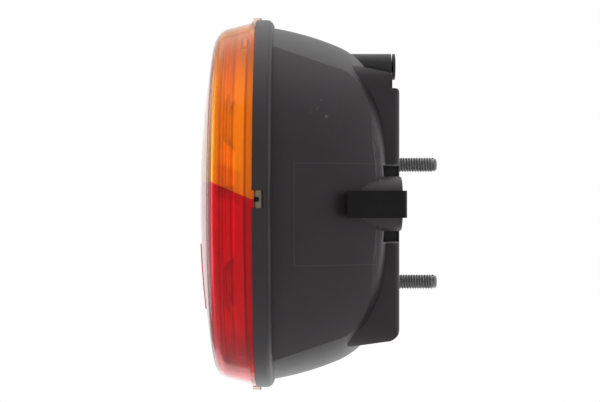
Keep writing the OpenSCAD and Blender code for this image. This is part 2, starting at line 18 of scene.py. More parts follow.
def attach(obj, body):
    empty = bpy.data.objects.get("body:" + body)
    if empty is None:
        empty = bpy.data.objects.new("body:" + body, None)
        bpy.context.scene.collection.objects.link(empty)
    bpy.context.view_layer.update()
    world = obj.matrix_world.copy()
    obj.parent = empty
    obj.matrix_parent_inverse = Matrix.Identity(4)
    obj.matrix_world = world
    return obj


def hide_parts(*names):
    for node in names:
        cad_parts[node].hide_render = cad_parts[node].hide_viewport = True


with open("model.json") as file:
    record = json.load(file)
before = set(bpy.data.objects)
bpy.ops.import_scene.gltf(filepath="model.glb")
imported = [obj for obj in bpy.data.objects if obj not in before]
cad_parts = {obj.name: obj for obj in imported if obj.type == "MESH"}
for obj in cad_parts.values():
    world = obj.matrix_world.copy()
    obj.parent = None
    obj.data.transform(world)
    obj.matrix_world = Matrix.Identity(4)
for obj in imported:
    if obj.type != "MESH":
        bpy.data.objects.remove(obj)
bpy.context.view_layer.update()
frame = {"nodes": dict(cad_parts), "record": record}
MM = 0.001
LOG = logging.getLogger("lamp")
Colour = tuple[float, float, float]


class Join(Enum):
    """How one solid is combined with another."""

    ADD = "UNION"
    CUT = "DIFFERENCE"
    KEEP = "INTERSECT"


class Half(Enum):
    """The two colours of the lens."""

    AMBER = "amber"
    RED = "red"


class Sock:
    """A shader socket or number whose arithmetic adds Math nodes."""

    def __init__(self, graph: "Graph", value: object) -> None:
        """Wraps one value.

        Args:
            graph: the node graph that the new nodes go into.
            value: an output socket or a number.
        """
        self.graph = graph
        self.value = value

    def _math(self, op: str, *others: object) -> "Sock":
        """Adds a Math node.

        Args:
            op: the node's operation.
            others: the other operands, as sockets or numbers.

        Returns:
            The result, wrapped.
        """
        values = [self.value] + [o.value if isinstance(o, Sock) else o for o in others]
        return self.graph.node("ShaderNodeMath", {"operation": op}, dict(enumerate(values)))

    def __add__(self, other: object) -> "Sock":
        """Sum."""
        return self._math("ADD", other)

    def __radd__(self, other: object) -> "Sock":
        """Sum, the other way round."""
        return self._math("ADD", other)

    def __sub__(self, other: object) -> "Sock":
        """Difference."""
        return self._math("SUBTRACT", other)

    def __rsub__(self, other: object) -> "Sock":
        """Difference, the other way round."""
        return Sock(self.graph, other)._math("SUBTRACT", self)

    def __mul__(self, other: object) -> "Sock":
        """Product."""
        return self._math("MULTIPLY", other)

    def __rmul__(self, other: object) -> "Sock":
        """Product, the other way round."""
        return self._math("MULTIPLY", other)

    def __truediv__(self, other: object) -> "Sock":
        """Quotient."""
        return self._math("DIVIDE", other)

    def __rtruediv__(self, other: object) -> "Sock":
        """Quotient, the other way round."""
        return Sock(self.graph, other)._math("DIVIDE", self)

    def __gt__(self, other: object) -> "Sock":
        """1 where this is above the other, else 0."""
        return self._math("GREATER_THAN", other)

    def __lt__(self, other: object) -> "Sock":
        """1 where this is below the other, else 0."""
        return self._math("LESS_THAN", other)

    def __abs__(self) -> "Sock":
        """Absolute value."""
        return self._math("ABSOLUTE")

    def wave(self) -> "Sock":
        """Sine."""
        return self._math("SINE")

    def power(self, exponent: float) -> "Sock":
        """Power."""
        return self._math("POWER", exponent)

    def low(self, other: object) -> "Sock":
        """The smaller of the two."""
        return self._math("MINIMUM", other)

    def high(self, other: object) -> "Sock":
        """The larger of the two."""
        return self._math("MAXIMUM", other)

    def step(self, low: float, high: float) -> "Sock":
        """Smooth step.

        Args:
            low: the value at which the result is 0.
            high: the value at which the result is 1.

        Returns:
            A smooth rise from 0 to 1.
        """
        return self.graph.node(
            "ShaderNodeMapRange",
            {"interpolation_type": "SMOOTHSTEP"},
            {"Value": self, "From Min": low, "From Max": high},
        )


class Graph:
    """A node tree that starts empty."""

    def __init__(self, tree: bpy.types.NodeTree) -> None:
        """Clears the tree.

        Args:
            tree: the node tree of a material or a world.
        """
        self.tree = tree
        self.tree.nodes.clear()

    def node(self, kind: str, settings: dict, values: dict, raw: bool = False, out: object = 0) -> object:
        """Adds any node.

        Args:
            kind: the node's type.
            settings: properties set before the sockets.
            values: sockets by name or index, with a number, a colour, a socket or a Sock each.
            raw: return the node itself.
            out: the output to return, by name or index.

        Returns:
            The node, or its output wrapped as a Sock.
        """
        made = self.tree.nodes.new(kind)
        for key, value in settings.items():
            setattr(made, key, value)
        for key, value in values.items():
            self.feed(made.inputs[key], value)
        return made if raw else Sock(self, made.outputs[out])

    def feed(self, socket: bpy.types.NodeSocket, value: object) -> None:
        """Sets or links one input.

        Args:
            socket: the input.
            value: a number, a colour, an output socket or a Sock.
        """
        value = value.value if isinstance(value, Sock) else value
        if isinstance(value, bpy.types.NodeSocket):
            self.tree.links.new(value, socket)
        elif isinstance(value, tuple) and len(value) == 3 and socket.type == "RGBA":
            socket.default_value = (*value, 1.0)
        else:
            socket.default_value = value


class Shader(Graph):
    """One material's node tree, built on a Principled BSDF."""

    def __init__(self, name: str) -> None:
        """Makes an empty material.

        Args:
            name: the material's name.
        """
        self.material = bpy.data.materials.new(name)
        self.material.use_nodes = True
        super().__init__(self.material.node_tree)
        self.body = self.node("ShaderNodeBsdfPrincipled", {}, {}, raw=True)
        self.end = self.node("ShaderNodeOutputMaterial", {}, {}, raw=True)
        self.tree.links.new(self.body.outputs[0], self.end.inputs["Surface"])
        self.coords = self.node("ShaderNodeTexCoord", {}, {}, raw=True).outputs["Object"]

    def axis(self, name: str) -> Sock:
        """One object coordinate, in metres."""
        split = self.node("ShaderNodeSeparateXYZ", {}, {0: self.coords}, raw=True)
        return Sock(self, split.outputs[name])

    def noise(self, scale: float, detail: float = 3.0, rough: float = 0.55) -> Sock:
        """Noise on object coordinates.

        Args:
            scale: features per metre.
            detail: octaves.
            rough: weight of the fine octaves.

        Returns:
            A value around 0.5.
        """
        values = {"Vector": self.coords, "Scale": scale, "Detail": detail, "Roughness": rough}
        return self.node("ShaderNodeTexNoise", {}, values)

    def blend(self, factor: object, low: object, high: object) -> Sock:
        """Mix of two colours.

        Args:
            factor: 0 gives low and 1 gives high.
            low: a colour.
            high: a colour.

        Returns:
            The mixed colour.
        """
        made = self.node("ShaderNodeMix", {"data_type": "RGBA"}, {0: factor}, raw=True)
        self.feed(made.inputs[6], low)
        self.feed(made.inputs[7], high)
        return Sock(self, made.outputs[2])

    def bump(self, height: object, depth: float, strength: float = 1.0) -> None:
        """Bump on the whole surface.

        Args:
            height: the height field, from 0 to 1.
            depth: its depth in metres.
            strength: the strength of the effect.
        """
        made = self.node("ShaderNodeBump", {}, {"Height": height, "Distance": depth, "Strength": strength})
        self.feed(self.body.inputs["Normal"], made)

    def set(self, **values: object) -> None:
        """Sets the Principled BSDF's sockets, with underscores for spaces."""
        for key, value in values.items():
            self.feed(self.body.inputs[key.replace("_", " ")], value)


def zone(at: Sock, low: float, high: float, soft: float) -> Sock:
    """Band mask.

    Args:
        at: the coordinate.
        low: where the band starts.
        high: where it ends.
        soft: width of each soft edge.

    Returns:
        1 inside the band, 0 outside it.
    """
    return at.step(low - soft, low + soft) * (1.0 - at.step(high - soft, high + soft))


@dataclass(frozen=True)
class MouldedBlack:
    """Black polypropylene with a fine spark texture, a faint moulded panel, a few scuffs, painted glints beside
    the slots and a painted shade line in the rim crevice.
    """

    colour: Colour = (0.021, 0.0165, 0.0195)
    worn: Colour = (0.03, 0.0245, 0.028)
    # colour of the scuffs and the panel line, also of the painted glints beside the slots
    scuff_and_glint: Colour = (0.16, 0.16, 0.16)
    rough: float = 0.43

    def material(self) -> bpy.types.Material:
        """Builds the material."""
        shade = Shader("black_polypropylene")
        x, y, z = (shade.axis(name) for name in "XYZ")
        near = y < -0.02
        grain = shade.noise(2600, 2, 0.6)
        cloud = shade.noise(55, 4, 0.6)
        dust = shade.noise(420, 5, 0.7).step(0.62, 0.8)
        outer = zone(x, -0.0381, -0.0088, 0.00012) * zone(z, -0.0215, 0.0142, 0.00012)
        inner = zone(x, -0.0378, -0.008, 0.00012) * zone(z, -0.0212, 0.0139, 0.00012)
        line = (outer - inner) * near
        rub = zone(x, -0.0325, -0.0284, 0.0012) * zone(z, 0.0315, 0.0365, 0.0012)
        dot = zone(x, -0.0273, -0.0263, 0.0003) * zone(z, 0.0299, 0.0309, 0.0003)
        scratches = shade.noise(900, 4, 0.75).step(0.55, 0.68)
        scuffs = (rub * scratches + dot) * near
        # painted highlights: light lines along the outer edges of the two slots beside the socket boss
        glints = (zone(z, 0.0135, 0.0141, 0.0001) + zone(z, -0.0143, -0.0137, 0.0001)) * zone(x, -0.0066, -0.0006, 0.0001)
        reach = (y * y + z * z).power(0.5)
        # painted shade: a near-black ring on the rim's rear rounding, where the crevice between rim and bowl lies
        # in shadow
        joint = zone(x, -0.0474, -0.0468, 0.0002) * (reach > 0.067)
        colour = shade.blend(cloud.step(0.35, 0.75) * 0.5 + dust * 0.3, self.colour, self.worn)
        colour = shade.blend(line * 0.12 + scuffs * 0.45 + glints * near * 0.9, colour, self.scuff_and_glint)
        # the painted crevice shade goes on last
        colour = shade.blend(joint * 0.85, colour, (0.001, 0.001, 0.001))
        shade.set(Base_Color=colour, Roughness=self.rough + (cloud - 0.5) * 0.14 + dust * 0.12)
        shade.set(Specular_IOR_Level=0.42)
        shade.bump(grain * 0.35 + cloud * 0.12 - line * 0.5, 0.0003, 0.5)
        return shade.material


@dataclass(frozen=True)
class LensPlastic:
    """Clear coloured acrylic, dyed through, with a flute pattern on the side wall, and painted light, painted
    shade and a painted glow that stand for the lit tray and the shadows inside seen through the wall.
    """

    name: str
    colour: Colour
    # painted light: colour of the lit tray collar and tower parts seen through the wall
    painted_light: Colour
    # painted shade, also used for the flute lines and a random darkening
    shade_and_flutes: Colour
    # painted glow: emission colour of the side wall, standing for light that passes through the lens
    glow: Colour
    hook: Colour = (0.5, 0.42, 0.33)
    # painted glow of the hooks
    hook_glow: Colour = (0.085, 0.07, 0.055)
    tab: Colour = (0.85, 0.7, 0.6)
    tab_r: float = 0.0701

    @staticmethod
    def marks(depth: Sock, height: Sock) -> tuple[Sock, Sock]:
        """Gives the painted shade and painted highlights that stand for the screw towers and other parts inside,
        seen through the side wall.

        Args:
            depth: distance in front of the mounting face.
            height: distance above the lamp's axis.

        Returns:
            The painted shade mask and the painted highlight mask.
        """
        tower = zone(depth, 0.0543, 0.0569, 0.0003) * zone(height, 0.0535, 0.0597, 0.0004)
        core = zone(depth, 0.0549, 0.0562, 0.0002) * zone(height, 0.0553, 0.0592, 0.0003)
        shelf = zone(depth, 0.0545, 0.0567, 0.0002) * zone(height, 0.0537, 0.0546, 0.0002)
        spot = zone(depth, 0.0606, 0.0632, 0.0006) * zone(height, -0.0574, -0.0542, 0.0006)
        bars = zone(height, -0.0545, -0.0538, 0.0002) + zone(height, -0.0561, -0.0554, 0.0002)
        return tower + spot, core + shelf + bars * zone(depth, 0.0548, 0.0594, 0.0003)

    def material(self) -> bpy.types.Material:
        """Builds the material."""
        shade = Shader(self.name)
        depth = 0.0 - shade.axis("X")
        reach = (shade.axis("Y") * shade.axis("Y") + shade.axis("Z") * shade.axis("Z")).power(0.5)
        ripple = shade.noise(90, 2, 0.5)
        streak = shade.noise(26, 4, 0.6).step(0.35, 0.7)
        joint = ((depth - 0.0523) / 0.0138).low(1.0) * 0.0058 + 0.0016
        above = shade.axis("Z") - joint
        # painted shade: a darker zone over the amber/red joint, where the tray's partition inside shades the wall
        divider_shade = zone(above, -0.0035, 0.0075, 0.0012) * zone(depth, 0.056, 0.0648, 0.0006)
        flutes = ((depth * 5700.0).wave() * 0.5 + 0.5) * zone(depth, 0.0597, 0.0637, 0.0002)
        # painted light: a zone where the white tray's collar shows lit through the side wall, and a weaker one
        # near its front edge
        painted_light_band = zone(depth, 0.05505, 0.05835, 0.00012) + zone(depth, 0.0638, 0.0655, 0.0002) * 0.8
        # painted shadows: dark lines for the flange's shadow, the collar's front edge and the corner behind the
        # front, with the flute pattern and the painted shade over the colour joint
        lines = (
            zone(depth, 0.0541, 0.0549, 0.00015)
            + zone(depth, 0.0586, 0.0594, 0.00015) * 0.7
            + zone(depth, 0.0657, 0.0664, 0.0002) * 0.8
            + flutes * 0.45
            + divider_shade * (0.35 + streak * 0.3)
        )
        colour = shade.blend(painted_light_band.low(1.0) * (0.75 + streak * 0.25), self.colour, self.painted_light)
        colour = shade.blend((lines + (1.0 - streak) * 0.12).low(1.0), colour, self.shade_and_flutes)
        colour = shade.blend(depth < 0.0514, colour, self.hook)
        # painted shade: the wall darkens towards top and bottom, where the inside lies in shadow; the same mask
        # picks out the tabs further down
        tips = abs(shade.axis("Z")).step(0.038, 0.06)
        colour = shade.blend(tips * (0.75 + streak * 0.25), colour, self.shade_and_flutes)
        dark, light = self.marks(depth, shade.axis("Z"))
        # painted shade and painted highlights of the parts inside
        colour = shade.blend(dark * 0.55, colour, tuple(0.35 * part for part in self.shade_and_flutes))
        colour = shade.blend(light * 0.8, colour, self.painted_light)
        colour = shade.blend((reach > self.tab_r) * (tips > 0.5), colour, self.tab)
        # painted glow: emission on the side wall, raised where the tray collar shows through and lowered in the
        # painted shadow lines and towards top and bottom
        wall = (depth > 0.0514) * (depth < 0.0666)
        lit = (0.6 + painted_light_band * 0.7 - lines * 0.3) * wall * (1.0 - tips * 0.8)
        glow = shade.blend(lit, (0.0, 0.0, 0.0), self.glow)
        # painted shadow: near-black under the hook tip and a darker strip along the hooks' front edge
        hook_shadow = zone(depth, 0.0498, 0.0514, 0.0001) * zone(shade.axis("Z"), 0.0007, 0.0023, 0.0001)
        hook_shadow = hook_shadow + zone(depth, 0.0508, 0.0514, 0.0001) * 0.6
        colour = shade.blend(hook_shadow, colour, (0.01, 0.006, 0.006))
        # painted glow on the hooks, dimmed in their painted shadow and at random
        hook_glow = shade.blend(hook_shadow + streak * 0.4, self.hook_glow, (0.0, 0.0, 0.0))
        shade.set(
            Base_Color=colour,
            Roughness=0.05 + ripple * 0.08,
            Transmission_Weight=0.93,
            IOR=1.3,
            Specular_IOR_Level=0.12,
            Emission_Color=shade.blend(depth < 0.0514, glow, hook_glow),
            Emission_Strength=1.0,
        )
        shade.bump(ripple, 0.0003, 0.25)
        return shade.material


@dataclass(frozen=True)
class LensOptics:
    """Inner prism skin of the lens, tinted and slightly hazy."""

    name: str
    colour: Colour

    def material(self) -> bpy.types.Material:
        """Builds the material."""
        shade = Shader(self.name)
        haze = shade.noise(300, 2, 0.5)
        shade.set(Base_Color=self.colour, Roughness=0.12 + haze * 0.1, Transmission_Weight=0.92, IOR=1.06)
        return shade.material


@dataclass(frozen=True)
class WhitePlastic:
    """Gloss white moulding of the tray."""

    colour: Colour = (0.86, 0.86, 0.84)

    def material(self) -> bpy.types.Material:
        """Builds the material."""
        shade = Shader("white_abs")
        stain = shade.noise(60, 4, 0.6).step(0.45, 0.8)
        colour = shade.blend(stain * 0.3, self.colour, (0.72, 0.7, 0.64))
        shade.set(Base_Color=colour, Roughness=0.22 + stain * 0.12)
        shade.bump(shade.noise(700, 2, 0.5), 0.0001, 0.3)
        return shade.material


@dataclass(frozen=True)
class PlatedSteel:
    """Zinc or nickel plating over steel, with a mottled, slightly oxidised skin."""

    name: str
    colour: Colour
    dull: Colour
    rough: float = 0.34

    def material(self) -> bpy.types.Material:
        """Builds the material."""
        shade = Shader(self.name)
        mottle = shade.noise(900, 4, 0.65)
        grime = shade.noise(260, 4, 0.6).step(0.5, 0.72)
        shade.set(
            Base_Color=shade.blend(mottle.step(0.3, 0.7) * 0.6 + grime * 0.4, self.colour, self.dull),
            Metallic=0.92 - grime * 0.25,
            Roughness=self.rough + grime * 0.2,
        )
        shade.bump(mottle, 0.00008, 0.4)
        return shade.material


@dataclass(frozen=True)
class SpringBrass:
    """Rolled brass strip, tarnished in patches."""

    name: str = "spring_brass"

    def material(self) -> bpy.types.Material:
        """Builds the material."""
        shade = Shader(self.name)
        tarnish = shade.noise(350, 4, 0.6).step(0.4, 0.75)
        shade.set(
            Base_Color=shade.blend(tarnish, (0.8, 0.6, 0.28), (0.45, 0.3, 0.13)),
            Metallic=1.0 - tarnish * 0.15,
            Roughness=0.24 + tarnish * 0.25,
        )
        return shade.material


@dataclass(frozen=True)
class SoftBlack:
    """Black rubber, nylon or foam."""

    name: str
    colour: Colour
    rough: float
    pore: float
    depth: float
    shine: float = 0.5

    def material(self) -> bpy.types.Material:
        """Builds the material."""
        shade = Shader(self.name)
        pores = shade.noise(self.pore, 3, 0.6)
        bloom = shade.noise(140, 4, 0.6).step(0.45, 0.8)
        pale = tuple(1.9 * part + 0.002 for part in self.colour)
        shade.set(Base_Color=shade.blend(bloom * 0.6, self.colour, pale), Roughness=self.rough + bloom * 0.12)
        shade.set(Specular_IOR_Level=self.shine)
        shade.bump(pores, self.depth, 0.5)
        return shade.material


@dataclass(frozen=True)
class BulbGlass:
    """Clear glass envelope with a slight smoky film."""

    name: str = "clear_glass"

    def material(self) -> bpy.types.Material:
        """Builds the material."""
        shade = Shader(self.name)
        film = shade.noise(120, 3, 0.6).step(0.45, 0.8)
        shade.set(
            Base_Color=shade.blend(film * 0.4, (0.97, 0.97, 0.97), (0.8, 0.78, 0.75)),
            Roughness=0.03 + film * 0.08,
            Transmission_Weight=0.95,
            IOR=1.45,
        )
        return shade.material


class Piece:
    """Helpers that turn a bmesh into a finished piece."""

    @staticmethod
    def finish(
        mesh: bmesh.types.BMesh, name: str, material: bpy.types.Material, slot: str, smooth: float = 35.0
    ) -> bpy.types.Object:
        """Writes a bmesh out as an object that rides on the lamp.

        Args:
            mesh: the shape, in place; it is freed.
            name: the piece's name.
            material: its finish.
            slot: the record's material slot; not used.
            smooth: edges below this angle, in degrees, are shaded smooth.

        Returns:
            The object.
        """
        bmesh.ops.remove_doubles(mesh, verts=mesh.verts, dist=1e-7)
        bmesh.ops.recalc_face_normals(mesh, faces=mesh.faces)
        data = bpy.data.meshes.new(name)
        for face in mesh.faces:
            face.smooth = True
        for edge in mesh.edges:
            if len(edge.link_faces) == 2 and edge.calc_face_angle(0.0) > math.radians(smooth):
                edge.smooth = False
        mesh.to_mesh(data)
        mesh.free()
        made = bpy.data.objects.new(name, data)
        bpy.context.scene.collection.objects.link(made)
        data.materials.append(material)
        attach(made, "root")
        LOG.info("piece %s: %d faces", name, len(data.polygons))
        return made

    @staticmethod
    def lathe(mesh: bmesh.types.BMesh, path: list[tuple[float, float]], steps: int) -> None:
        """Spins an open or closed line round the lamp's axis.

        Args:
            mesh: the bmesh that receives the surface.
            path: the line as (depth in front of the face, radius), in mm.
            steps: the number of segments.
        """
        verts = [mesh.verts.new((-x * MM, 0.0, r * MM)) for x, r in path]
        edges = [mesh.edges.new(pair) for pair in zip(verts, verts[1:])]
        bmesh.ops.spin(
            mesh,
            geom=verts + edges,
            cent=(0, 0, 0),
            axis=(1, 0, 0),
            angle=math.tau,
            steps=steps,
            use_merge=True,
        )


class Solid:
    """A closed mesh that other solids are joined to or cut from."""

    def __init__(self, mesh: bmesh.types.BMesh, name: str) -> None:
        """Puts the mesh into an object.

        Args:
            mesh: the shape, in place; it is freed.
            name: a name for the object.
        """
        bmesh.ops.remove_doubles(mesh, verts=mesh.verts, dist=1e-6)
        bmesh.ops.recalc_face_normals(mesh, faces=mesh.faces)
        data = bpy.data.meshes.new(name)
        mesh.to_mesh(data)
        mesh.free()
        self.item = bpy.data.objects.new(name, data)
        bpy.context.scene.collection.objects.link(self.item)

    def combine(self, join: Join, other: "Solid") -> "Solid":
        """Joins another solid to this one, or cuts this one with it.

        Args:
            join: what to do.
            other: the other solid, which is used up.

        Returns:
            This solid.
        """
        step = self.item.modifiers.new(join.name, "BOOLEAN")
        step.operation = join.value
        step.solver = "EXACT"
        step.object = other.item
        view = bpy.context.evaluated_depsgraph_get()
        made = bpy.data.meshes.new_from_object(self.item.evaluated_get(view))
        self.item.modifiers.clear()
        self.item.data = made
        bpy.data.objects.remove(other.item)
        return self

    def take(self) -> bmesh.types.BMesh:
        """Gives the shape back as a bmesh and removes the object."""
        mesh = bmesh.new()
        mesh.from_mesh(self.item.data)
        bpy.data.objects.remove(self.item)
        return mesh


@dataclass
class Housing:
    """The moulded housing, with the round cheeks that meet the bowl in one long crease."""

    sphere_r: float = 78.4
    sphere_x: float = 52.3
    sphere_y: float = 18.1
    wall: float = 2.2
    excess: float = 0.5
    inset: float = 1.0
    back: float = 5.2
    short_x: float = 32.1
    short_r: float = 26.9
    short_base: float = 35.18
    change_x: float = 21.806
    long_x: float = 63.901
    long_r: float = 110.0
    long_base: float = -41.592
    rim_rear: float = 45.746
    mouth_r: float = 64.0
    floor: float = 0.55
    rim_r: float = 70.0
    round_r: float = 3.4
    side_y: float = 33.0
    boss_y: float = 42.0
    boss_r: float = 9.8
    boss_end: float = 15.3
    material: bpy.types.Material = None

    def ball(self, radius: float, side: int) -> Solid:
        """Makes one cheek's sphere.

        Args:
            radius: its radius in mm.
            side: -1 for the near cheek, 1 for the far one.

        Returns:
            The sphere.
        """
        mesh = bmesh.new()
        place = Matrix.Translation((-self.sphere_x * MM, -side * self.sphere_y * MM, 0))
        bmesh.ops.create_uvsphere(mesh, u_segments=200, v_segments=100, radius=radius * MM, matrix=place)
        return Solid(mesh, "ball")

    def block(self, low: tuple[float, float, float], high: tuple[float, float, float]) -> Solid:
        """Makes a block between two corners, given as (depth, y, z) in mm."""
        mesh = bmesh.new()
        size = [(b - a) * MM for a, b in zip(low, high)]
        middle = [(a + b) / 2 * MM for a, b in zip(low, high)]
        place = Matrix.Translation((-middle[0], middle[1], middle[2])) @ Matrix.Diagonal((*size, 1.0))
        bmesh.ops.create_cube(mesh, size=1.0, matrix=place)
        return Solid(mesh, "block")

    def disc(self, y: float, radius: float, back: float, front: float, steps: int) -> Solid:
        """Makes a round bar along the axis between two depths."""
        mesh = bmesh.new()
        turn = Matrix.Rotation(math.pi / 2, 4, "Y")
        place = Matrix.Translation((-(back + front) / 2 * MM, y * MM, 0)) @ turn
        bmesh.ops.create_cone(
            mesh,
            cap_ends=True,
            segments=steps,
            radius1=radius * MM,
            radius2=radius * MM,
            depth=(front - back) * MM,
            matrix=place,
        )
        return Solid(mesh, "disc")

    def bowl(self) -> Solid:
        """Makes the bowl's form, a little inside its outer face."""
        path = [(self.back + self.inset, 0.0), (self.back + self.inset, self.short_base)]
        short = self.short_r - self.inset
        for k in range(1, 13):
            x = self.back + self.inset + (self.change_x - self.back - self.inset) * (k / 12) ** 2
            path.append((x, self.short_base + math.sqrt(short**2 - (self.short_x - x) ** 2)))
        long = self.long_r - self.inset
        for k in range(1, 17):
            x = self.change_x + (self.rim_rear + self.floor - self.change_x) * k / 16
            path.append((x, self.long_base + math.sqrt(long**2 - (self.long_x - x) ** 2)))
        path.append((path[-1][0], 0.0))
        mesh = bmesh.new()
        Piece.lathe(mesh, path, 192)
        return Solid(mesh, "bowl")

    def cheek(self, side: int) -> Solid:
        """Makes one cheek's wall, a little too thick outwards.

        Args:
            side: -1 for the near cheek, 1 for the far one.

        Returns:
            The wall, trimmed to the inside of the bowl.
        """
        shell = self.ball(self.sphere_r + self.excess, side)
        shell.combine(Join.CUT, self.ball(self.sphere_r - self.wall, side))
        return shell.combine(Join.KEEP, self.bowl())

    def waste(self, side: int) -> Solid:
        """Makes what is cut off outside one cheek.

        Args:
            side: -1 for the near cheek, 1 for the far one.

        Returns:
            The waste, clear of the socket boss.
        """
        low, high = sorted((side * self.side_y, side * 75.0))
        block = self.block((0.0, low, -75.0), (self.rim_rear + 0.01, high, 75.0))
        block.combine(Join.CUT, self.ball(self.sphere_r, side))
        if side < 0:
            block.combine(Join.CUT, self.disc(-self.boss_y, self.boss_r, -1.0, self.boss_end, 96))
        return block

    def shoulder(self) -> Solid:
        """Makes the ring that is cut off the rim's rear edge to round it."""
        out = 0.3
        centre = (self.rim_rear + self.round_r - 0.12, self.rim_r - self.round_r + 0.15)
        path = [
            (centre[0], self.rim_r + out),
            (self.rim_rear - out, self.rim_r + out),
            (self.rim_rear - out, centre[1] + self.round_r * math.sin(math.pi / 24)),
        ]
        for k in range(1, 13):
            turn = math.pi / 2 * k / 12
            path.append((centre[0] - self.round_r * math.cos(turn), centre[1] + self.round_r * math.sin(turn)))
        path.append(path[0])
        mesh = bmesh.new()
        Piece.lathe(mesh, path, 256)
        return Solid(mesh, "shoulder")

    def build(self) -> None:
        """Cuts the cheeks into a copy of the housing and stands it in for the CAD node."""
        mesh = bmesh.new()
        mesh.from_mesh(frame["nodes"]["housing"].data)
        body = Solid(mesh, "housing_body")
        body.combine(Join.CUT, self.shoulder())
        floor = self.disc(0.0, self.mouth_r, self.rim_rear, self.rim_rear + self.floor, 192)
        for side in (-1, 1):
            body.combine(Join.ADD, self.cheek(side))
        keep = self.ball(self.sphere_r - self.wall, -1).combine(Join.KEEP, self.ball(self.sphere_r - self.wall, 1))
        body.combine(Join.ADD, floor.combine(Join.CUT, keep))
        for side in (-1, 1):
            body.combine(Join.CUT, self.waste(side))
        made = Piece.finish(body.take(), "housing_shell", self.material, "black_polypropylene", 22.0)
        self.crisp(made)
        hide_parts("housing")

    def crisp(self, made: bpy.types.Object) -> None:
        """Marks the crease along each cheek as a sharp edge.

        Args:
            made: the finished housing.
        """
        mesh = bmesh.new()
        mesh.from_mesh(made.data)
        centres = [Vector((-self.sphere_x, side * self.sphere_y, 0)) * MM for side in (-1, 1)]
        for edge in mesh.edges:
            if len(edge.link_faces) != 2 or edge.calc_face_angle(0.0) < math.radians(5.0):
                continue
            for centre in centres:
                gaps = [abs((vert.co - centre).length - self.sphere_r * MM) for vert in edge.verts]
                if max(gaps) < 0.03 * MM:
                    edge.smooth = False
        mesh.to_mesh(made.data)
        mesh.free()


@dataclass
class Studs:
    """The two threaded fixing studs."""

    radius: float = 2.75
    root: float = 2.35
    pitch: float = 1.0
    end: float = 16.5
    chamfer: float = 0.9
    start: float = -3.6
    thread_from: float = -0.5
    heights: tuple[float, float] = (14.9, -30.1)
    material: bpy.types.Material = None

    def thread(self, mesh: bmesh.types.BMesh, height: float) -> None:
        """Winds one stud's thread.

        Args:
            mesh: the bmesh that receives it.
            height: the stud's height above the axis, in mm.
        """
        turns = int((self.end - self.chamfer - self.thread_from) / self.pitch) - 1
        line = [(0.0, self.root), (0.38, self.radius), (0.62, self.radius), (1.0, self.root)]
        verts = [
            mesh.verts.new(((self.thread_from + x * self.pitch) * MM, 0.0, (height + r) * MM)) for x, r in line
        ]
        edges = [mesh.edges.new(pair) for pair in zip(verts, verts[1:])]
        steps = 28 * turns
        bmesh.ops.spin(
            mesh,
            geom=verts + edges,
            cent=(0, 0, height * MM),
            axis=(1, 0, 0),
            dvec=(self.pitch * MM / 28, 0, 0),
            angle=math.tau * turns,
            steps=steps,
            use_merge=False,
        )

    def core(self, mesh: bmesh.types.BMesh, height: float) -> None:
        """Adds the plain core, its coned tip and the root collar.

        Args:
            mesh: the bmesh that receives it.
            height: the stud's height above the axis, in mm.
        """
        path = [
            (self.start, 0.0),
            (self.start, self.radius),
            (self.thread_from + 0.3, self.radius),
            (self.thread_from + 0.8, self.root + 0.04),
            (self.end - self.chamfer - 0.4, self.root + 0.04),
            (self.end - self.chamfer - 0.1, self.radius - 0.2),
            (self.end - 0.15, self.root - 0.25),
            (self.end, self.root - 0.7),
            (self.end, 0.0),
        ]
        verts = [mesh.verts.new((x * MM, 0.0, (height + r) * MM)) for x, r in path]
        edges = [mesh.edges.new(pair) for pair in zip(verts, verts[1:])]
        bmesh.ops.spin(
            mesh,
            geom=verts + edges,
            cent=(0, 0, height * MM),
            axis=(1, 0, 0),
            angle=math.tau,
            steps=28,
            use_merge=True,
        )

    def head(self, mesh: bmesh.types.BMesh, height: float) -> None:
        """Adds the hexagonal head inside the housing.

        Args:
            mesh: the bmesh that receives it.
            height: the stud's height above the axis, in mm.
        """
        turn = Matrix.Translation((-4.8 * MM, 0, height * MM)) @ Matrix.Rotation(math.pi / 2, 4, "Y")
        made = bmesh.ops.create_cone(
            mesh, cap_ends=True, segments=6, radius1=5.78 * MM, radius2=5.78 * MM, depth=2.38 * MM, matrix=turn
        )
        edges = list({edge for vert in made["verts"] for edge in vert.link_edges})
        bmesh.ops.bevel(
            mesh, geom=edges, offset=0.2 * MM, segments=2, profile=0.5, affect="EDGES", material=-1
        )

    def build(self) -> None:
        """Builds both studs as one piece that stands for the CAD node."""
        mesh = bmesh.new()
        for height in self.heights:
            self.thread(mesh, height)
            self.core(mesh, height)
            self.head(mesh, height)
        made = Piece.finish(mesh, "studs_threaded", self.material, "zinc_steel", 30.0)
        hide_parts("mounting_studs")


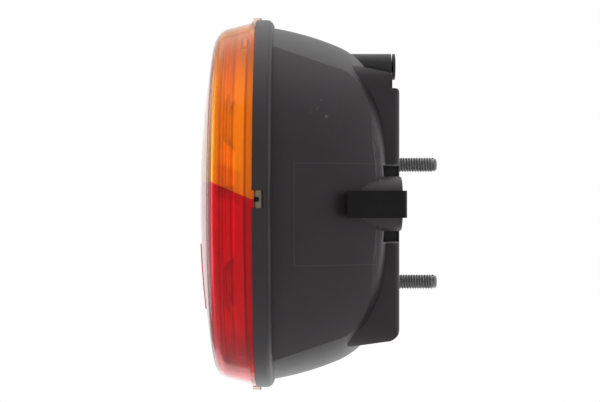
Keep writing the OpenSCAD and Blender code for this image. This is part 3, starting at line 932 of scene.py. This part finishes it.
@dataclass
class LensRings:
    """Ring prisms moulded on the inside of the lens: a thin zigzag skin in each colour."""

    side_r: float = 66.3
    side_from: float = 59.9
    side_to: float = 64.4
    slope: float = 0.24
    ring: float = 1.1
    rise: float = 0.35
    front_r: float = 345.0
    front_apex: float = 71.3
    joint: float = 7.0
    steps: int = 128
    amber: bpy.types.Material = None
    red: bpy.types.Material = None

    def line(self) -> list[tuple[float, float]]:
        """The zigzag from the side wall to the middle of the front, as (depth, radius)."""
        path: list[tuple[float, float]] = []
        x = self.side_from
        while x < self.side_to:
            r = self.side_r - self.slope * (x - self.side_from) - 1.6
            path += [(x, r), (x + 0.8 * self.ring, r - self.rise)]
            x += self.ring
        r = 58.5
        while r > 2.0:
            depth = self.front_apex - r * r / (2 * self.front_r) - 1.2
            path += [(depth, r), (depth - self.rise, r - 0.85 * 1.8)]
            r -= 1.8
        return path

    def build(self) -> None:
        """Builds the two halves."""
        for half in Half:
            upper = half is Half.AMBER
            material = self.amber if upper else self.red
            mesh = bmesh.new()
            Piece.lathe(mesh, self.line(), self.steps)
            cut = mesh.verts[:] + mesh.edges[:] + mesh.faces[:]
            bmesh.ops.bisect_plane(
                mesh,
                geom=cut,
                plane_co=(0, 0, self.joint * MM),
                plane_no=(0, 0, 1),
                clear_inner=upper,
                clear_outer=not upper,
            )
            Piece.finish(mesh, f"{half.value}_optics", material, f"{half.value}_acrylic", 20.0)


@dataclass
class Studio:
    """Camera, lights and floor."""

    distance: float = 0.504
    aim: tuple[float, float] = (-0.03604, 0.00096)
    lens: float = 78.5
    floor_z: float = -0.6
    floor_half: float = 1.6
    front_level: float = 0.62

    def camera(self) -> None:
        """Places the camera square to the lamp's side."""
        data = bpy.data.cameras.new("camera")
        data.lens = self.lens
        data.sensor_width = 36.0
        data.clip_start = 0.01
        made = bpy.data.objects.new("camera", data)
        made.location = (self.aim[0], -self.distance, self.aim[1])
        made.rotation_euler = (math.pi / 2, 0, 0)
        bpy.context.scene.collection.objects.link(made)
        bpy.context.scene.camera = made

    def lamp(self, name: str, place: Vector, look: Vector, size: float, power: float) -> None:
        """Adds one soft square light.

        Args:
            name: the light's name.
            place: its position.
            look: the point that it faces.
            size: its side.
            power: its power in watts.
        """
        data = bpy.data.lights.new(name, "AREA")
        data.shape = "SQUARE"
        data.size = size
        data.energy = power
        made = bpy.data.objects.new(name, data)
        made.location = place
        made.rotation_euler = (look - place).to_track_quat("-Z", "Y").to_euler()
        made.visible_camera = False
        bpy.context.scene.collection.objects.link(made)

    def world(self) -> None:
        """Lights softly, more from behind than from the camera's side, and shows white behind the lamp."""
        world = bpy.data.worlds.new("studio")
        bpy.context.scene.world = world
        world.use_nodes = True
        graph = Graph(world.node_tree)
        ray = graph.node("ShaderNodeLightPath", {}, {}, raw=True)
        sky = graph.node("ShaderNodeTexCoord", {}, {}, raw=True)
        split = graph.node("ShaderNodeSeparateXYZ", {}, {0: sky.outputs["Generated"]}, raw=True)
        behind = Sock(graph, split.outputs["Y"]).step(-0.25, 0.6)
        seen = Sock(graph, ray.outputs["Is Camera Ray"]).high(Sock(graph, ray.outputs["Is Transmission Ray"]))
        level = (self.front_level + behind * (1.0 - self.front_level)).high(seen)
        back = graph.node("ShaderNodeBackground", {}, {"Color": (1.0, 1.0, 1.0), "Strength": level}, raw=True)
        end = graph.node("ShaderNodeOutputWorld", {}, {}, raw=True)
        graph.tree.links.new(back.outputs[0], end.inputs["Surface"])

    def floor(self) -> None:
        """Adds a plain pale floor that keeps a soft shadow."""
        mesh = bmesh.new()
        bmesh.ops.create_grid(mesh, x_segments=1, y_segments=1, size=self.floor_half)
        bmesh.ops.translate(mesh, verts=mesh.verts, vec=(0, 0, self.floor_z))
        data = bpy.data.meshes.new("floor")
        mesh.to_mesh(data)
        mesh.free()
        made = bpy.data.objects.new("floor", data)
        bpy.context.scene.collection.objects.link(made)
        shade = Shader("floor_white")
        shade.set(Base_Color=(0.75, 0.75, 0.75), Roughness=0.9, Specular_IOR_Level=0.0)
        path = shade.node("ShaderNodeLightPath", {}, {}, raw=True)
        glow = shade.node("ShaderNodeEmission", {}, {"Color": (1.0, 1.0, 1.0), "Strength": 1.0}, raw=True)
        mix = shade.node("ShaderNodeMixShader", {}, {}, raw=True)
        seen = Sock(shade, path.outputs["Is Camera Ray"]) * 0.93
        shade.feed(mix.inputs[0], seen)
        shade.tree.links.new(shade.body.outputs[0], mix.inputs[1])
        shade.tree.links.new(glow.outputs[0], mix.inputs[2])
        shade.tree.links.new(mix.outputs[0], shade.end.inputs["Surface"])
        data.materials.append(shade.material)

    def build(self) -> None:
        """Sets up the whole studio."""
        self.camera()
        self.world()
        self.floor()
        self.lamp("key_above", Vector((-0.03, 0.2, 1.0)), Vector((-0.03, 0.05, 0)), 1.4, 4.5)
        self.lamp("lens_front", Vector((-0.95, 0.3, 0.05)), Vector((-0.06, 0, 0)), 1.0, 6.2)
        self.lamp("back_side", Vector((0.95, 0.0, 0.1)), Vector((-0.02, 0, 0)), 1.0, 1.0)
        self.lamp("fill_below", Vector((-0.03, 0.45, -0.58)), Vector((-0.03, 0.1, 0)), 1.0, 3.0)
        scene = bpy.context.scene
        scene.view_settings.view_transform = "Standard"


@dataclass
class Lamp:
    """The whole lamp: finishes for the CAD nodes and the pieces that detail them."""

    finishes: dict[str, bpy.types.Material] = field(default_factory=dict)

    def paint(self) -> None:
        """Gives every CAD node its finish."""
        made = self.finishes
        made["black_polypropylene"] = MouldedBlack().material()
        # lens colours in order: own colour, painted light, painted shade and flute tone, painted glow
        made["amber_acrylic"] = LensPlastic(
            "amber_acrylic", (0.95, 0.42, 0.005), (1.0, 0.46, 0.004), (0.7, 0.22, 0.002), (0.13, 0.035, 0.0)
        ).material()
        made["red_acrylic"] = LensPlastic(
            "red_acrylic", (0.78, 0.03, 0.045), (0.86, 0.03, 0.045), (0.5, 0.006, 0.015), (0.07, 0.0, 0.002)
        ).material()
        made["foam_seal"] = SoftBlack("foam_seal", (0.02, 0.02, 0.02), 0.85, 1800, 0.0002).material()
        made["white_abs"] = WhitePlastic().material()
        made["clear_glass"] = BulbGlass().material()
        made["nickel_cap"] = PlatedSteel("nickel_cap", (0.7, 0.68, 0.64), (0.5, 0.48, 0.44)).material()
        made["spring_brass"] = SpringBrass().material()
        made["zinc_steel"] = PlatedSteel("zinc_steel", (0.3, 0.3, 0.305), (0.15, 0.15, 0.155), 0.42).material()
        made["black_rubber"] = SoftBlack("black_rubber", (0.02, 0.02, 0.02), 0.45, 900, 0.0001).material()
        made["black_nylon"] = SoftBlack("black_nylon", (0.005, 0.004, 0.0045), 0.4, 500, 0.00008, 0.2).material()
        for part in frame["record"]["subparts"]:
            node = frame["nodes"][part["node"]]
            node.data.materials.clear()
            node.data.materials.append(made[part["material_slot"]])
            LOG.info("node %s: %s", part["node"], part["material_slot"])

    def build(self) -> None:
        """Dresses the nodes and adds the detailed pieces."""
        self.paint()
        Housing(material=self.finishes["black_polypropylene"]).build()
        Studs(material=self.finishes["zinc_steel"]).build()
        LensRings(
            amber=LensOptics("amber_prisms", (1.0, 0.8, 0.45)).material(),
            red=LensOptics("red_prisms", (1.0, 0.7, 0.7)).material(),
        ).build()


def main() -> None:
    """Builds the studio and the lamp."""
    logging.basicConfig(level=logging.INFO, format="%(name)s %(message)s")
    Studio().build()
    Lamp().build()


if __name__ == "__main__":
    main()
